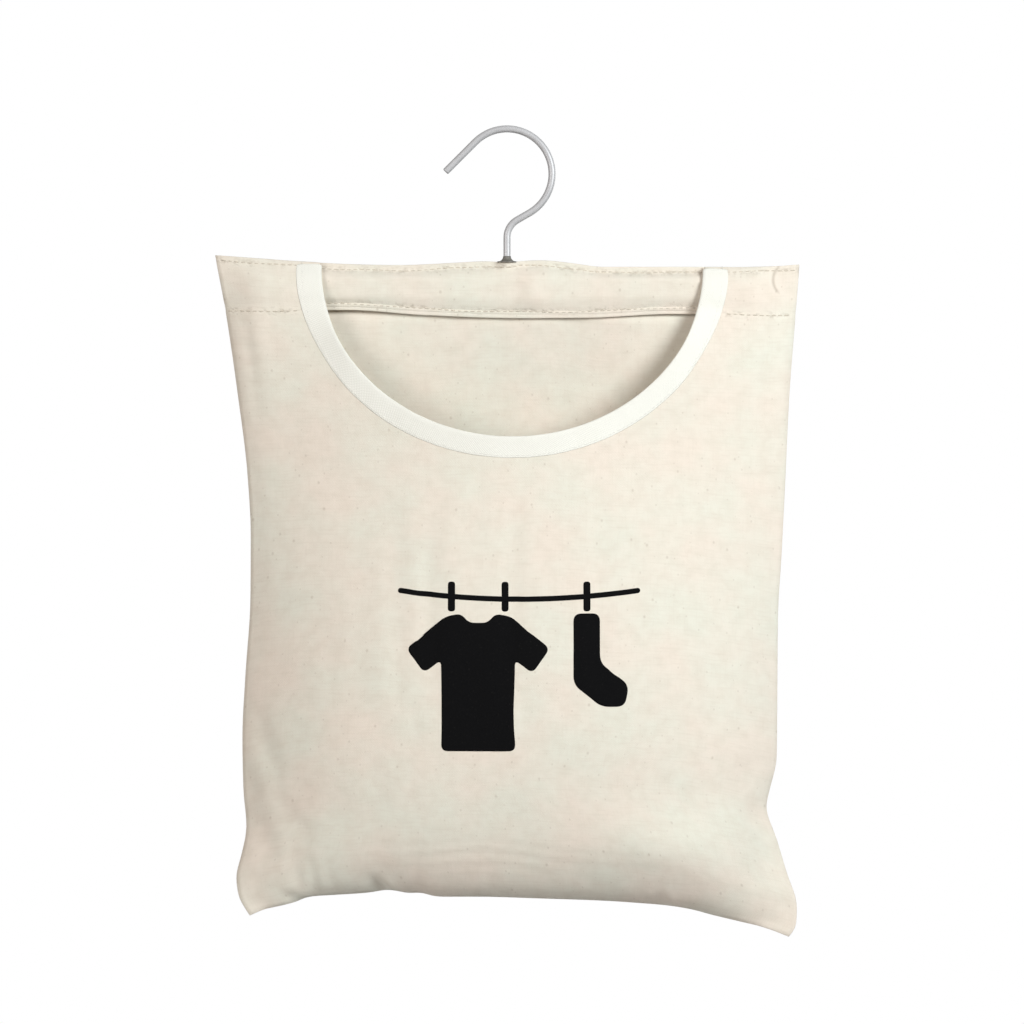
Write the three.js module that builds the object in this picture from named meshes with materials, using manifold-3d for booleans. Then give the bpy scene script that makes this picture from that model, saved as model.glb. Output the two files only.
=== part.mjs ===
// Peg bag: a canvas pouch with a scooped, tape-bound mouth, hung on a bar with a swivelling wire hook.
// Millimetres, +Z up. X runs along the bar and the front of the bag faces -Y.
// The origin is the inside top of the crook, where the bag hangs on a rail, and the hook turns about Z.
import * as THREE from "three";
import { mergeVertices } from "three/addons/utils/BufferGeometryUtils.js";
import Module from "manifold-3d";

const wasm = await Module();
wasm.setup();

// Fits
const clearance = 0.3; // between pieces that lie against each other
const turningClearance = 0.4; // round the shank, which turns
const cutOver = 5; // how far a cut runs past the piece

// Hook wire
const wireDiameter = 3.5;
const crookInnerRadius = 20.75;
const tipLength = 21;
const tipSlope = 45; // degrees below level
const neckAngle = 60; // degrees below the crook's middle, where the neck leaves it
const neckBendRadius = 10;
const shankAboveBag = 12;
const footDiameter = 5.4; // clenched end of the wire
const footTaper = 0.6; // width of the foot's end, as a share of its diameter
const footHeight = 2;

// Washer on the foot, and collar round the shank at the top of the bag
const washerDiameter = 6;
const washerThickness = 0.8;
const collarDiameter = 10;
const collarRimHeight = 0.6;
const collarHeight = 3.2;
const collarWall = 0.5;
const collarSpread = 4.2; // half the width over which the stitched edge parts round the barrel

// Wooden bar
const barLength = 244;
const barHeight = 14;
const barThickness = 9;
const barEdgeRadius = 3.5;
const barEndBevel = 1.5;
const footRecessDepth = 6;

// Canvas bag
const canvasThickness = 0.8;
const topHalfWidth = 145;
const waistHalfWidth = 130;
const cornerHalfWidth = 139;
const waistDrop = 215; // depth below the top at which the sides stop drawing in
const flareDrop = 262; // depth at which they start to flare to the bottom corners
const bagHeight = 316; // at the middle
const cornerDrop = 14; // bottom corners below the middle of the bottom
const cornerLift = 3; // top corners above the middle of the top
const frontBulge = 36;
const frontSlackAbove = 1.2; // powers of the bulge's curve, from the top edge and from the bottom seam
const frontSlackBelow = 0.6;
const backBulge = 18.5;
const backSlackAbove = 0.65; // the same for the back, from the casing's lower stitches and from the bottom seam
const backSlackBelow = 0.5;
const topCurve = 4; // powers of the curves of the top edge and the bottom seam
const bottomCurve = 3;

// Casing that holds the bar
const casingHeight = 28;
const casingSideMargin = 6; // from the side seams
const stitchMargin = 2.5; // flat stitched edge above and below the bar's tunnel
const casingFade = 70; // depth below the casing over which the front panel loses its thickness

// Mouth and its binding tape
const mouthHalfWidth = 95.5;
const mouthDepth = 85.5;
const tapeWidth = 10;
const tapeThickness = 0.5;

// Facet counts
const wireSides = 16;
const wireSteps = 64;
const turnedSides = 28;
const panelColumns = 20;
const columnSpacing = 0.3; // least space between two columns, as a share of the usual one
const casingRows = 12;
const mouthRows = 9;
const pouchRows = 12;
const tapeSteps = 40;
const collarSteps = 6;
const barEdgeSteps = 5;
const barBevelSteps = 3;

// Places worked out from the sizes
const wireRadius = wireDiameter / 2;
const boreRadius = wireRadius + turningClearance;
const crookRadius = crookInnerRadius + wireRadius;
const crookCentreZ = -crookInnerRadius;
const neck = THREE.MathUtils.degToRad(neckAngle);
const neckTangent = neckBendRadius * Math.tan(neck / 2);
const neckExitZ = crookCentreZ - crookRadius * Math.sin(neck);
const neckExit = new THREE.Vector3(crookRadius * Math.cos(neck), 0, neckExitZ);
const neckDirection = new THREE.Vector3(-Math.sin(neck), 0, -Math.cos(neck));
const neckCorner = neckExit.clone().addScaledVector(neckDirection, neckExit.x / Math.sin(neck));
const shankTopZ = neckCorner.z - neckTangent;
const topZ = shankTopZ - shankAboveBag; // top edge of the bag at the middle

const barHalfLength = barLength / 2;
const barMidZ = topZ - casingHeight / 2;
const barTopZ = barMidZ + barHeight / 2;
const barBottomZ = barMidZ - barHeight / 2;
const recessTopZ = barBottomZ + footRecessDepth;
const washerTopZ = recessTopZ - clearance;
const footTopZ = washerTopZ - washerThickness - clearance;
const footBottomZ = footTopZ - footHeight;
const collarBarrelRadius = boreRadius + collarWall;

const casingHalfLength = topHalfWidth - casingSideMargin;
const casingEnd = casingHalfLength / topHalfWidth;
const casingMid = casingHeight / 2;
const casingShare = casingHeight / bagHeight;
const tunnelReach = casingMid - stitchMargin;
const tunnelHalf = barThickness / 2 + clearance;
const collarHalf = collarBarrelRadius + clearance / 2;

// Helpers
const smooth = THREE.MathUtils.smoothstep;

class ArcXZ extends THREE.Curve {
  constructor(centreX, centreZ, radius, from, to) {
    super();
    Object.assign(this, { centreX, centreZ, radius, from, to });
  }

  getPoint(share, target = new THREE.Vector3()) {
    const angle = THREE.MathUtils.lerp(this.from, this.to, share);
    const x = this.centreX + this.radius * Math.cos(angle);
    const z = this.centreZ + this.radius * Math.sin(angle);
    return target.set(x, 0, z);
  }
}

function bare(geometry) {
  const copy = geometry.clone();
  copy.deleteAttribute("normal");
  copy.deleteAttribute("uv");
  return mergeVertices(copy);
}

function toSolid(geometry) {
  const merged = bare(geometry);
  const vertProperties = new Float32Array(merged.attributes.position.array);
  const triVerts = new Uint32Array(merged.index.array);
  return new wasm.Manifold(new wasm.Mesh({ numProp: 3, vertProperties, triVerts }));
}

function toGeometry(solid) {
  const mesh = solid.getMesh();
  const geometry = new THREE.BufferGeometry();
  geometry.setAttribute("position", new THREE.BufferAttribute(new Float32Array(mesh.vertProperties), 3));
  geometry.setIndex(new THREE.BufferAttribute(new Uint32Array(mesh.triVerts), 1));
  geometry.computeVertexNormals();
  return geometry;
}

function fromTriangles(points, triangles) {
  const geometry = new THREE.BufferGeometry().setFromPoints(points);
  geometry.setIndex(triangles);
  geometry.computeVertexNormals();
  return geometry;
}

// A profile of [radius, z] points that closes on itself, turned about Z.
function turned(profile) {
  const points = [...profile, profile[0]].map(([radius, z]) => new THREE.Vector2(radius, z));
  return new THREE.LatheGeometry(points, turnedSides).rotateX(Math.PI / 2);
}

function rod(radius, lowZ, highZ) {
  const cylinder = new THREE.CylinderGeometry(radius, radius, highZ - lowZ, turnedSides);
  return cylinder.rotateX(Math.PI / 2).translate(0, 0, (highZ + lowZ) / 2);
}

// Two grids of points, each a list of rows from the top down, joined into one closed sheet.
function closedSheet(frontFace, rearFace) {
  const rows = frontFace.length;
  const columns = frontFace[0].length;
  const points = [...frontFace.flat(), ...rearFace.flat()];
  const front = (row, column) => row * columns + column;
  const rear = (row, column) => rows * columns + front(row, column);
  const triangles = [];
  const quad = (a, b, c, d) => triangles.push(a, b, c, a, c, d);
  for (let i = 0; i < rows - 1; i++) {
    for (let j = 0; j < columns - 1; j++) {
      quad(front(i, j), front(i + 1, j), front(i + 1, j + 1), front(i, j + 1));
      quad(rear(i, j), rear(i, j + 1), rear(i + 1, j + 1), rear(i + 1, j));
    }
    quad(front(i, 0), rear(i, 0), rear(i + 1, 0), front(i + 1, 0));
    quad(front(i, columns - 1), front(i + 1, columns - 1), rear(i + 1, columns - 1), rear(i, columns - 1));
  }
  for (let j = 0; j < columns - 1; j++) {
    quad(front(0, j), front(0, j + 1), rear(0, j + 1), rear(0, j));
    quad(front(rows - 1, j), rear(rows - 1, j), rear(rows - 1, j + 1), front(rows - 1, j + 1));
  }
  return fromTriangles(points, triangles);
}

// A row of closed sections, each with the same number of points, skinned and capped.
function loft(sections, outline) {
  const count = outline.length;
  const triangles = [];
  for (let i = 0; i < sections.length - 1; i++) {
    for (let k = 0; k < count; k++) {
      const next = (k + 1) % count;
      const a = i * count + k;
      const b = i * count + next;
      triangles.push(a, b, b + count, a, b + count, a + count);
    }
  }
  const last = (sections.length - 1) * count;
  for (const [a, b, c] of THREE.ShapeUtils.triangulateShape(outline, [])) {
    triangles.push(a, c, b, last + a, last + b, last + c);
  }
  return fromTriangles(sections.flat(), triangles);
}

// Shape of the bag. u runs from side seam to side seam, -1 to 1, and s from the top edge down, 0 to 1.
function halfWidthAt(s) {
  const drop = s * bagHeight;
  const drawIn = (topHalfWidth - waistHalfWidth) * Math.max(0, 1 - drop / waistDrop) ** 2;
  const flare = (cornerHalfWidth - waistHalfWidth) * smooth(drop, flareDrop, bagHeight);
  return waistHalfWidth + drawIn + flare;
}

function heightAt(u, s) {
  const top = cornerLift * Math.abs(u) ** topCurve;
  const bottom = -bagHeight - cornerDrop * Math.abs(u) ** bottomCurve;
  return topZ + THREE.MathUtils.lerp(top, bottom, s);
}

// Fullness of a panel: nothing where it is held at its top and at the bottom seam, and 1 where it is fullest.
function fullness(share, above, below) {
  const curve = (t) => Math.max(0, t) ** above * Math.max(0, 1 - t) ** below;
  return curve(share) / curve(above / (above + below));
}

const frontBulgeAt = (u, s) => frontBulge * fullness(s, frontSlackAbove, frontSlackBelow) * (1 - u * u);

// The back panel is sewn to the casing's lower edge, so its bulge starts there.
function backBulgeAt(u, s) {
  const share = (s - casingShare) / (1 - casingShare);
  return backBulge * fullness(share, backSlackAbove, backSlackBelow) * (1 - u * u);
}

// Where the bar ends, as a share of the casing's narrowest half width
const barEnd = barHalfLength / halfWidthAt(casingShare);

// Half the gap between casing and back panel: the bar's tunnel, parted round the collar at its stitched edge.
function tunnelAt(u, drop) {
  const q = Math.min(1, Math.abs(drop - casingMid) / tunnelReach);
  const open = (1 - q ** 4) ** 2 * (1 - smooth(Math.abs(u), barEnd, casingEnd));
  const fromCollar = (u * topHalfWidth) / collarSpread;
  const collar = drop < casingMid ? collarHalf * Math.exp(-(fromCollar ** 2)) : 0;
  return tunnelHalf * open + collar * (1 - open);
}

// How much of the casing's thickness the front panel still has: all of it beside the casing, then less and less
const casingLeft = (drop) => 1 - smooth(drop, casingHeight, casingHeight + casingFade);

// Gap at the front panel, whose shoulders hang over the casing and the inner leg of the tape
function frontGapAt(u, drop) {
  const rise = Math.sin((Math.PI / 2) * Math.min(1, drop / tunnelReach));
  const overBar = tunnelHalf * rise * (1 - smooth(Math.abs(u), barEnd, casingEnd));
  const layers = canvasThickness + tapeThickness + 2 * clearance;
  const overLayers = layers * (1 - smooth(Math.abs(u), casingEnd, 1));
  return (overBar + overLayers) * casingLeft(drop);
}

// Inner faces of the three layers, from front to back
function frontFaceAt(u, s) {
  const x = u * halfWidthAt(s);
  const drop = s * bagHeight;
  const gap = frontGapAt(u, drop) + frontBulgeAt(u, s);
  return new THREE.Vector3(x, -clearance / 2 - gap, heightAt(u, s));
}

function casingFaceAt(u, s) {
  const x = u * halfWidthAt(s);
  return new THREE.Vector3(x, -clearance / 2 - tunnelAt(u, s * bagHeight), heightAt(u, s));
}

function backFaceAt(u, s) {
  const x = u * halfWidthAt(s);
  const gap = tunnelAt(u, s * bagHeight) + backBulgeAt(u, s);
  return new THREE.Vector3(x, clearance / 2 + gap, heightAt(u, s));
}

// Square to a layer, towards -Y
function normalAt(face, u, s) {
  const step = 1e-4; // of u and s
  const across = face(Math.min(1, u + step), s).sub(face(Math.max(-1, u - step), s));
  const down = face(u, Math.min(1, s + step)).sub(face(u, Math.max(0, s - step)));
  return down.cross(across).normalize();
}

// Columns crowd towards the side seams, and some stand at the collar and at the ends of the bar and casing.
function makeColumns() {
  const nearCollar = [0.75, 1.5, 2.8].map((spreads) => (spreads * collarSpread) / topHalfWidth);
  const fixed = [...nearCollar, barEnd, casingEnd];
  const places = fixed.flatMap((place) => [-place, place]);
  const least = columnSpacing / panelColumns;
  for (let k = 0; k <= panelColumns; k++) {
    const u = Math.sin(Math.PI * (k / panelColumns - 0.5));
    if (fixed.every((place) => Math.abs(Math.abs(u) - place) > least)) places.push(u);
  }
  return places.sort((a, b) => a - b);
}

// Rows are close in the casing, even beside the mouth, and crowd towards the bottom seam.
function makeRows() {
  const mouthEnd = (mouthDepth + 2 * tapeWidth) / bagHeight;
  const span = (count, from, to, ease) =>
    Array.from({ length: count }, (_, k) => THREE.MathUtils.lerp(from, to, ease((k + 1) / count)));
  return [
    0,
    ...span(casingRows, 0, casingShare, (share) => share),
    ...span(mouthRows, casingShare, mouthEnd, (share) => share),
    ...span(pouchRows, mouthEnd, 1, (share) => Math.sin((share * Math.PI) / 2)),
  ];
}

const columns = makeColumns();
const rows = makeRows();

// A layer of canvas from its inner face, in front of that face where side is -1 and behind it where it is 1
function canvasLayer(face, side, lastColumn, lastRow) {
  const across = columns.filter((u) => Math.abs(u) <= lastColumn);
  const down = rows.filter((s) => s <= lastRow);
  const shift = -side * canvasThickness;
  const inner = down.map((s) => across.map((u) => face(u, s)));
  const outer = down.map((s) => across.map((u) => face(u, s).addScaledVector(normalAt(face, u, s), shift)));
  return side < 0 ? closedSheet(outer, inner) : closedSheet(inner, outer);
}

// The bag's u and s at a place seen from the front, closer with each pass
function placeAt(x, z) {
  const passes = 12;
  let s = 0;
  let u = 0;
  for (let pass = 0; pass < passes; pass++) {
    u = x / halfWidthAt(s);
    s = Math.max(0, (heightAt(u, 0) - z) / (heightAt(u, 0) - heightAt(u, 1)));
  }
  return [u, s];
}

// Hook
function makeHook() {
  const tip = THREE.MathUtils.degToRad(tipSlope);
  const crookStart = Math.PI / 2 + tip;
  const crook = new ArcXZ(0, crookCentreZ, crookRadius, crookStart, -neck);
  const tipStart = crook.getPoint(0);
  const tipDirection = new THREE.Vector3(-Math.cos(tip), 0, -Math.sin(tip));
  const tipEnd = tipStart.clone().addScaledVector(tipDirection, tipLength);
  const bendStart = neckCorner.clone().addScaledVector(neckDirection, -neckTangent);
  const path = new THREE.CurvePath();
  path.add(new THREE.LineCurve3(tipEnd, tipStart));
  path.add(crook);
  path.add(new THREE.LineCurve3(neckExit, bendStart));
  path.add(new ArcXZ(neckBendRadius, shankTopZ, neckBendRadius, Math.PI - neck, Math.PI));
  path.add(new THREE.LineCurve3(new THREE.Vector3(0, 0, shankTopZ), new THREE.Vector3(0, 0, footTopZ)));
  const section = new THREE.Shape().absarc(0, 0, wireRadius, 0, 2 * Math.PI);
  const wire = new THREE.ExtrudeGeometry(section, {
    steps: wireSteps,
    extrudePath: path,
    curveSegments: wireSides / 2,
  });
  const footRadius = footDiameter / 2;
  const foot = turned([
    [0, footTopZ],
    [0, footBottomZ],
    [footRadius * footTaper, footBottomZ],
    [footRadius, footBottomZ + footHeight / 2],
    [footRadius, footTopZ],
  ]);
  return toGeometry(toSolid(wire).add(toSolid(foot)));
}

// Washer between the clenched foot and the bar
function makeWasher() {
  const radius = washerDiameter / 2;
  const bottomZ = washerTopZ - washerThickness;
  return turned([
    [boreRadius, bottomZ],
    [radius, bottomZ],
    [radius, washerTopZ],
    [boreRadius, washerTopZ],
  ]);
}

// Trumpet-shaped collar, whose barrel stands on the bar between the two stitched layers
function makeCollar() {
  const rimRadius = collarDiameter / 2;
  const rimZ = topZ + clearance;
  const lip = new THREE.Vector2(rimRadius, rimZ + collarRimHeight);
  const throat = new THREE.Vector2(collarBarrelRadius, rimZ + collarRimHeight);
  const mouth = new THREE.Vector2(collarBarrelRadius, rimZ + collarHeight);
  const flare = new THREE.QuadraticBezierCurve(lip, throat, mouth).getPoints(collarSteps);
  return turned([
    [boreRadius, barTopZ + clearance],
    [collarBarrelRadius, barTopZ + clearance],
    [collarBarrelRadius, rimZ],
    [rimRadius, rimZ],
    ...flare.map((point) => [point.x, point.y]),
    [boreRadius, rimZ + collarHeight],
  ]);
}

// Bar with rounded edges, bored for the shank and recessed underneath for the washer and foot
function makeBar() {
  const halfY = barThickness / 2 - barEndBevel;
  const halfZ = barHeight / 2 - barEndBevel;
  const radius = barEdgeRadius - barEndBevel;
  const section = new THREE.Shape();
  section.absarc(halfZ - radius, halfY - radius, radius, 0, Math.PI / 2);
  section.absarc(radius - halfZ, halfY - radius, radius, Math.PI / 2, Math.PI);
  section.absarc(radius - halfZ, radius - halfY, radius, Math.PI, 1.5 * Math.PI);
  section.absarc(halfZ - radius, radius - halfY, radius, 1.5 * Math.PI, 2 * Math.PI);
  const stick = new THREE.ExtrudeGeometry(section, {
    depth: barLength - 2 * barEndBevel,
    curveSegments: barEdgeSteps,
    bevelThickness: barEndBevel,
    bevelSize: barEndBevel,
    bevelSegments: barBevelSteps,
  });
  stick.translate(0, 0, barEndBevel - barHalfLength).rotateY(Math.PI / 2).translate(0, 0, barMidZ);
  const bore = rod(boreRadius, barBottomZ - cutOver, barTopZ + cutOver);
  const recess = rod(washerDiameter / 2 + clearance, barBottomZ - cutOver, recessTopZ);
  return toGeometry(toSolid(stick).subtract(toSolid(bore)).subtract(toSolid(recess)));
}

// Front panel, with the mouth scooped out of its top edge
function makeFrontPanel() {
  const fold = tapeThickness + clearance;
  const across = mouthHalfWidth + fold;
  const down = mouthDepth + fold;
  const above = cornerLift + canvasThickness + cutOver;
  const depth = 2 * (frontBulge + barThickness + casingHeight + cutOver);
  const scoop = new THREE.Shape();
  scoop.moveTo(across, above);
  scoop.lineTo(-across, above);
  scoop.absellipse(0, 0, across, down, Math.PI, 2 * Math.PI);
  const cutter = new THREE.ExtrudeGeometry(scoop, { depth, bevelEnabled: false, curveSegments: tapeSteps });
  cutter.rotateX(Math.PI / 2).translate(0, depth / 2, topZ);
  return toGeometry(toSolid(canvasLayer(frontFaceAt, -1, 1, 1)).subtract(toSolid(cutter)));
}

// Tape folded over the cut edge of the mouth, with a leg on each face of the front panel
function makeBinding() {
  const slot = canvasThickness / 2 + clearance;
  const face = slot + tapeThickness;
  const half = tapeWidth / 2;
  const outline = [
    [tapeWidth, face],
    [half, face],
    [tapeThickness, face],
    [0, slot],
    [0, -slot],
    [tapeThickness, -face],
    [half, -face],
    [tapeWidth, -face],
    [tapeWidth, -slot],
    [half, -slot],
    [tapeThickness, -slot],
    [tapeThickness, slot],
    [half, slot],
    [tapeWidth, slot],
  ].map(([outward, forward]) => new THREE.Vector2(outward, forward));
  const casingAngle = Math.acos(casingHeight / mouthDepth);
  const beside = rows.slice(0, casingRows).map((s) => Math.acos((s * bagHeight) / mouthDepth));
  const under = Array.from({ length: tapeSteps + 1 }, (_, k) => casingAngle * (1 - (2 * k) / tapeSteps));
  const angles = [...beside, ...under, ...beside.map((angle) => -angle).reverse()];
  const sections = angles.map((angle) => {
    const across = Math.sin(angle);
    const down = Math.cos(angle);
    const x = mouthHalfWidth * across;
    const z = topZ - mouthDepth * down;
    const outward = new THREE.Vector2(across / mouthHalfWidth, -down / mouthDepth).normalize();
    return outline.map((point) => {
      const [u, s] = placeAt(x + outward.x * point.x, z + outward.y * point.x);
      const forward = canvasThickness / 2 + point.y;
      return frontFaceAt(u, s).addScaledVector(normalAt(frontFaceAt, u, s), forward);
    });
  });
  return loft(sections, outline);
}

// Materials
const canvas = { color: 0xe6dccb, roughness: 0.95, metalness: 0 };
const tape = { color: 0xf8f6ea, roughness: 0.85, metalness: 0 };
const steel = { color: 0xb9b9bb, roughness: 0.28, metalness: 1 };
const darkMetal = { color: 0x5a5650, roughness: 0.45, metalness: 1 };
const wood = { color: 0xcaa877, roughness: 0.7, metalness: 0 };

function piece(name, geometry, look) {
  const mesh = new THREE.Mesh(geometry, new THREE.MeshStandardMaterial(look));
  mesh.name = name;
  return mesh;
}

const hookGroup = new THREE.Group();
hookGroup.add(piece("hook", makeHook(), steel));

const bagGroup = new THREE.Group();
bagGroup.add(
  piece("hook_washer", makeWasher(), steel),
  piece("hook_collar", makeCollar(), darkMetal),
  piece("hanger_bar", makeBar(), wood),
  piece("back_panel", canvasLayer(backFaceAt, 1, 1, 1), canvas),
  piece("casing_band", canvasLayer(casingFaceAt, -1, casingEnd, casingShare), canvas),
  piece("front_panel", makeFrontPanel(), canvas),
  piece("mouth_binding", makeBinding(), tape),
);

const pegBag = new THREE.Group();
pegBag.add(hookGroup, bagGroup);

export default pegBag;
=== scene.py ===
import math

import bpy
import numpy as np
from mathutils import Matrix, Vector, noise
from mathutils.bvhtree import BVHTree
from mathutils.geometry import delaunay_2d_cdt
from mathutils.interpolate import poly_3d_calc


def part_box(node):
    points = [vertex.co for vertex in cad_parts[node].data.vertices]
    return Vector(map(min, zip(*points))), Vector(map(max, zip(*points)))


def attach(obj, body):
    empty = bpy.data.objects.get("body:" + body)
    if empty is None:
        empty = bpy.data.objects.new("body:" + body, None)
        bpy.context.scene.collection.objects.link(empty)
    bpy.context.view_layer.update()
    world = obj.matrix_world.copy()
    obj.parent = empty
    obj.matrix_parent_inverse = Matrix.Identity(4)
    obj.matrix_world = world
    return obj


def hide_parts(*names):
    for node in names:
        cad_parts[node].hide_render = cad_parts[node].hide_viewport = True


# Peg bag in natural canvas on a wire hook. Metres, +Z up, the front of the bag faces -Y.
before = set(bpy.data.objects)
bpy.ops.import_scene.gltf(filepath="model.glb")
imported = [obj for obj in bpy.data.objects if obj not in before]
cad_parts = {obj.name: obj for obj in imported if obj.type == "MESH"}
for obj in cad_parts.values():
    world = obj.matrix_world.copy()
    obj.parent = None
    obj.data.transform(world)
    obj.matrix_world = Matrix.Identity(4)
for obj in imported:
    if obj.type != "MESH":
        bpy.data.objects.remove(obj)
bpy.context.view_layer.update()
barLow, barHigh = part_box("hanger_bar")
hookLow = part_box("hook")[0]
collarLow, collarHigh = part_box("hook_collar")
barMidZ = (barLow.z + barHigh.z) / 2
print("frame loaded:", ", ".join(sorted(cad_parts)))


# Small helpers

def lerp(a, b, share):
    return a + (b - a) * share


def smoothStep(value, low, high):
    share = np.clip((value - low) / (high - low), 0, 1)
    return share * share * (3 - 2 * share)


def bell(distance, width):
    return np.exp(-(distance / width) ** 2)


def smoothLine(points):
    places, values = np.array(points, float).T
    gaps = np.diff(places)
    rises = np.diff(values) / gaps
    product = rises[1:] * rises[:-1]
    total = np.where(product > 0, rises[1:] + rises[:-1], 1)
    inner = np.where(product > 0, 2 * product / total, 0)  # no overshoot between the points
    slopes = np.concatenate([[rises[0]], inner, [rises[-1]]])

    def at(place):
        place = np.clip(place, places[0], places[-1])
        i = np.clip(np.searchsorted(places, place) - 1, 0, len(gaps) - 1)
        t = (place - places[i]) / gaps[i]
        bend = (1 - t) * slopes[i] - t * slopes[i + 1] + (2 * t - 1) * rises[i]
        return lerp(values[i], values[i + 1], t) + t * (1 - t) * gaps[i] * bend

    return at


def turnAngles(count):
    return np.arange(count) * 2 * math.pi / count


def arcPoints(centre, radius, start, end, count):
    angles = np.linspace(start, end, count)
    return [(centre[0] + radius * math.cos(a), centre[1] + radius * math.sin(a)) for a in angles]


def noiseAt(places, scale, seed):
    shift = Vector((seed * 7.31, seed * 3.17, seed * 1.93))
    return np.array([noise.noise(Vector((x * scale[0], z * scale[1], 0)) + shift) for x, z in places])


def gridFaces(rows, columns, closeRows=False, closeColumns=False):
    faces = []
    for i in range(rows if closeRows else rows - 1):
        for j in range(columns if closeColumns else columns - 1):
            n, k = (i + 1) % rows, (j + 1) % columns
            faces.append((i * columns + j, n * columns + j, n * columns + k, i * columns + k))
    return faces


def addObject(name, data):
    item = bpy.data.objects.new(name, data)
    bpy.context.scene.collection.objects.link(item)
    return item


def newPiece(name, points, faces, edges=()):
    mesh = bpy.data.meshes.new(name)
    mesh.from_pydata([tuple(point) for point in points], list(edges), [tuple(face) for face in faces])
    mesh.update()
    return addObject(name, mesh)


def dropPiece(piece):
    mesh = piece.data
    bpy.data.objects.remove(piece)
    bpy.data.meshes.remove(mesh)


def bakeModifiers(piece):
    graph = bpy.context.evaluated_depsgraph_get()
    baked = bpy.data.meshes.new_from_object(piece.evaluated_get(graph), depsgraph=graph)
    old = piece.data
    piece.modifiers.clear()
    piece.data = baked
    name = old.name
    bpy.data.meshes.remove(old)
    baked.name = name


def subdivide(piece, level):
    finer = piece.modifiers.new("finer", "SUBSURF")
    finer.levels = level
    finer.render_levels = level
    finer.boundary_smooth = "PRESERVE_CORNERS"


def dress(piece, material, flat=None, wall=0.0, level=0):
    mesh = piece.data
    mesh.materials.append(material)
    if flat is not None:
        loops = np.empty(len(mesh.loops), int)
        mesh.loops.foreach_get("vertex_index", loops)
        mesh.uv_layers.new(name="flat").data.foreach_set("uv", flat[loops].ravel())
    if wall:
        solid = piece.modifiers.new("wall", "SOLIDIFY")
        solid.thickness = wall
        solid.offset = -1
    if level:
        subdivide(piece, level)
    if wall or level:
        bakeModifiers(piece)
    piece.data.polygons.foreach_set("use_smooth", [True] * len(piece.data.polygons))
    return piece


def readVectors(items, name):
    values = np.empty(len(items) * 3)
    items.foreach_get(name, values)
    return values.reshape(-1, 3)


def refine(points, faces, level):
    piece = newPiece("refine", points, faces)
    subdivide(piece, level)
    bakeModifiers(piece)
    fine = readVectors(piece.data.vertices, "co")
    fineFaces = [tuple(polygon.vertices) for polygon in piece.data.polygons]
    dropPiece(piece)
    return fine, fineFaces


# Nodes: an input is a value or another node's socket. A socket's id_data is its node tree.

def addNode(tree, kind, inputs=(), **settings):
    node = tree.nodes.new(kind)
    for name, value in settings.items():
        setattr(node, name, value)
    for socket, value in dict(inputs).items():
        if isinstance(value, bpy.types.NodeSocket):
            tree.links.new(value, node.inputs[socket])
        else:
            node.inputs[socket].default_value = value
    return node


def mathNode(operation, a, b=0.0):
    return addNode(a.id_data, "ShaderNodeMath", {0: a, 1: b}, operation=operation).outputs[0]


def times(a, b):
    return mathNode("MULTIPLY", a, b)


def ramp(value, low, high, start=0.0, end=1.0):
    inputs = {0: value, 1: low, 2: high, 3: start, 4: end}
    return addNode(value.id_data, "ShaderNodeMapRange", inputs, clamp=True).outputs[0]


def mixColour(share, a, b):
    return addNode(share.id_data, "ShaderNodeMix", {0: share, 6: a, 7: b}, data_type="RGBA").outputs[2]


def flatPlaces(tree, scale=(1, 1, 1), turn=0.0):
    flat = addNode(tree, "ShaderNodeUVMap", uv_map="flat").outputs[0]
    inputs = {"Vector": flat, "Scale": scale, "Rotation": (0, 0, turn)}
    return addNode(tree, "ShaderNodeMapping", inputs).outputs[0]


def noiseNode(place, detail, roughness=0.5):
    inputs = {"Vector": place, "Scale": 1.0, "Detail": detail, "Roughness": roughness}
    return addNode(place.id_data, "ShaderNodeTexNoise", inputs).outputs[0]


# Soft patches of noise on the flat cloth
def patches(tree, scale, detail, roughness, low, high, most, least=0.0):
    return ramp(noiseNode(flatPlaces(tree, scale), detail, roughness), low, high, least, most)


def bumpFrom(height, distance):
    inputs = {"Height": height, "Distance": distance, "Strength": 1.0}
    return addNode(height.id_data, "ShaderNodeBump", inputs).outputs[0]


def newMaterial(name):
    material = bpy.data.materials.new(name)
    material.use_nodes = True
    material.node_tree.nodes.clear()
    return material, material.node_tree


def finishMaterial(material, sockets):
    shader = addNode(material.node_tree, "ShaderNodeBsdfPrincipled", sockets)
    addNode(material.node_tree, "ShaderNodeOutputMaterial", {"Surface": shader.outputs["BSDF"]})
    return material


# Cloth materials. A noise is its scale, detail, roughness, low and high end and how far it shades.

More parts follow.
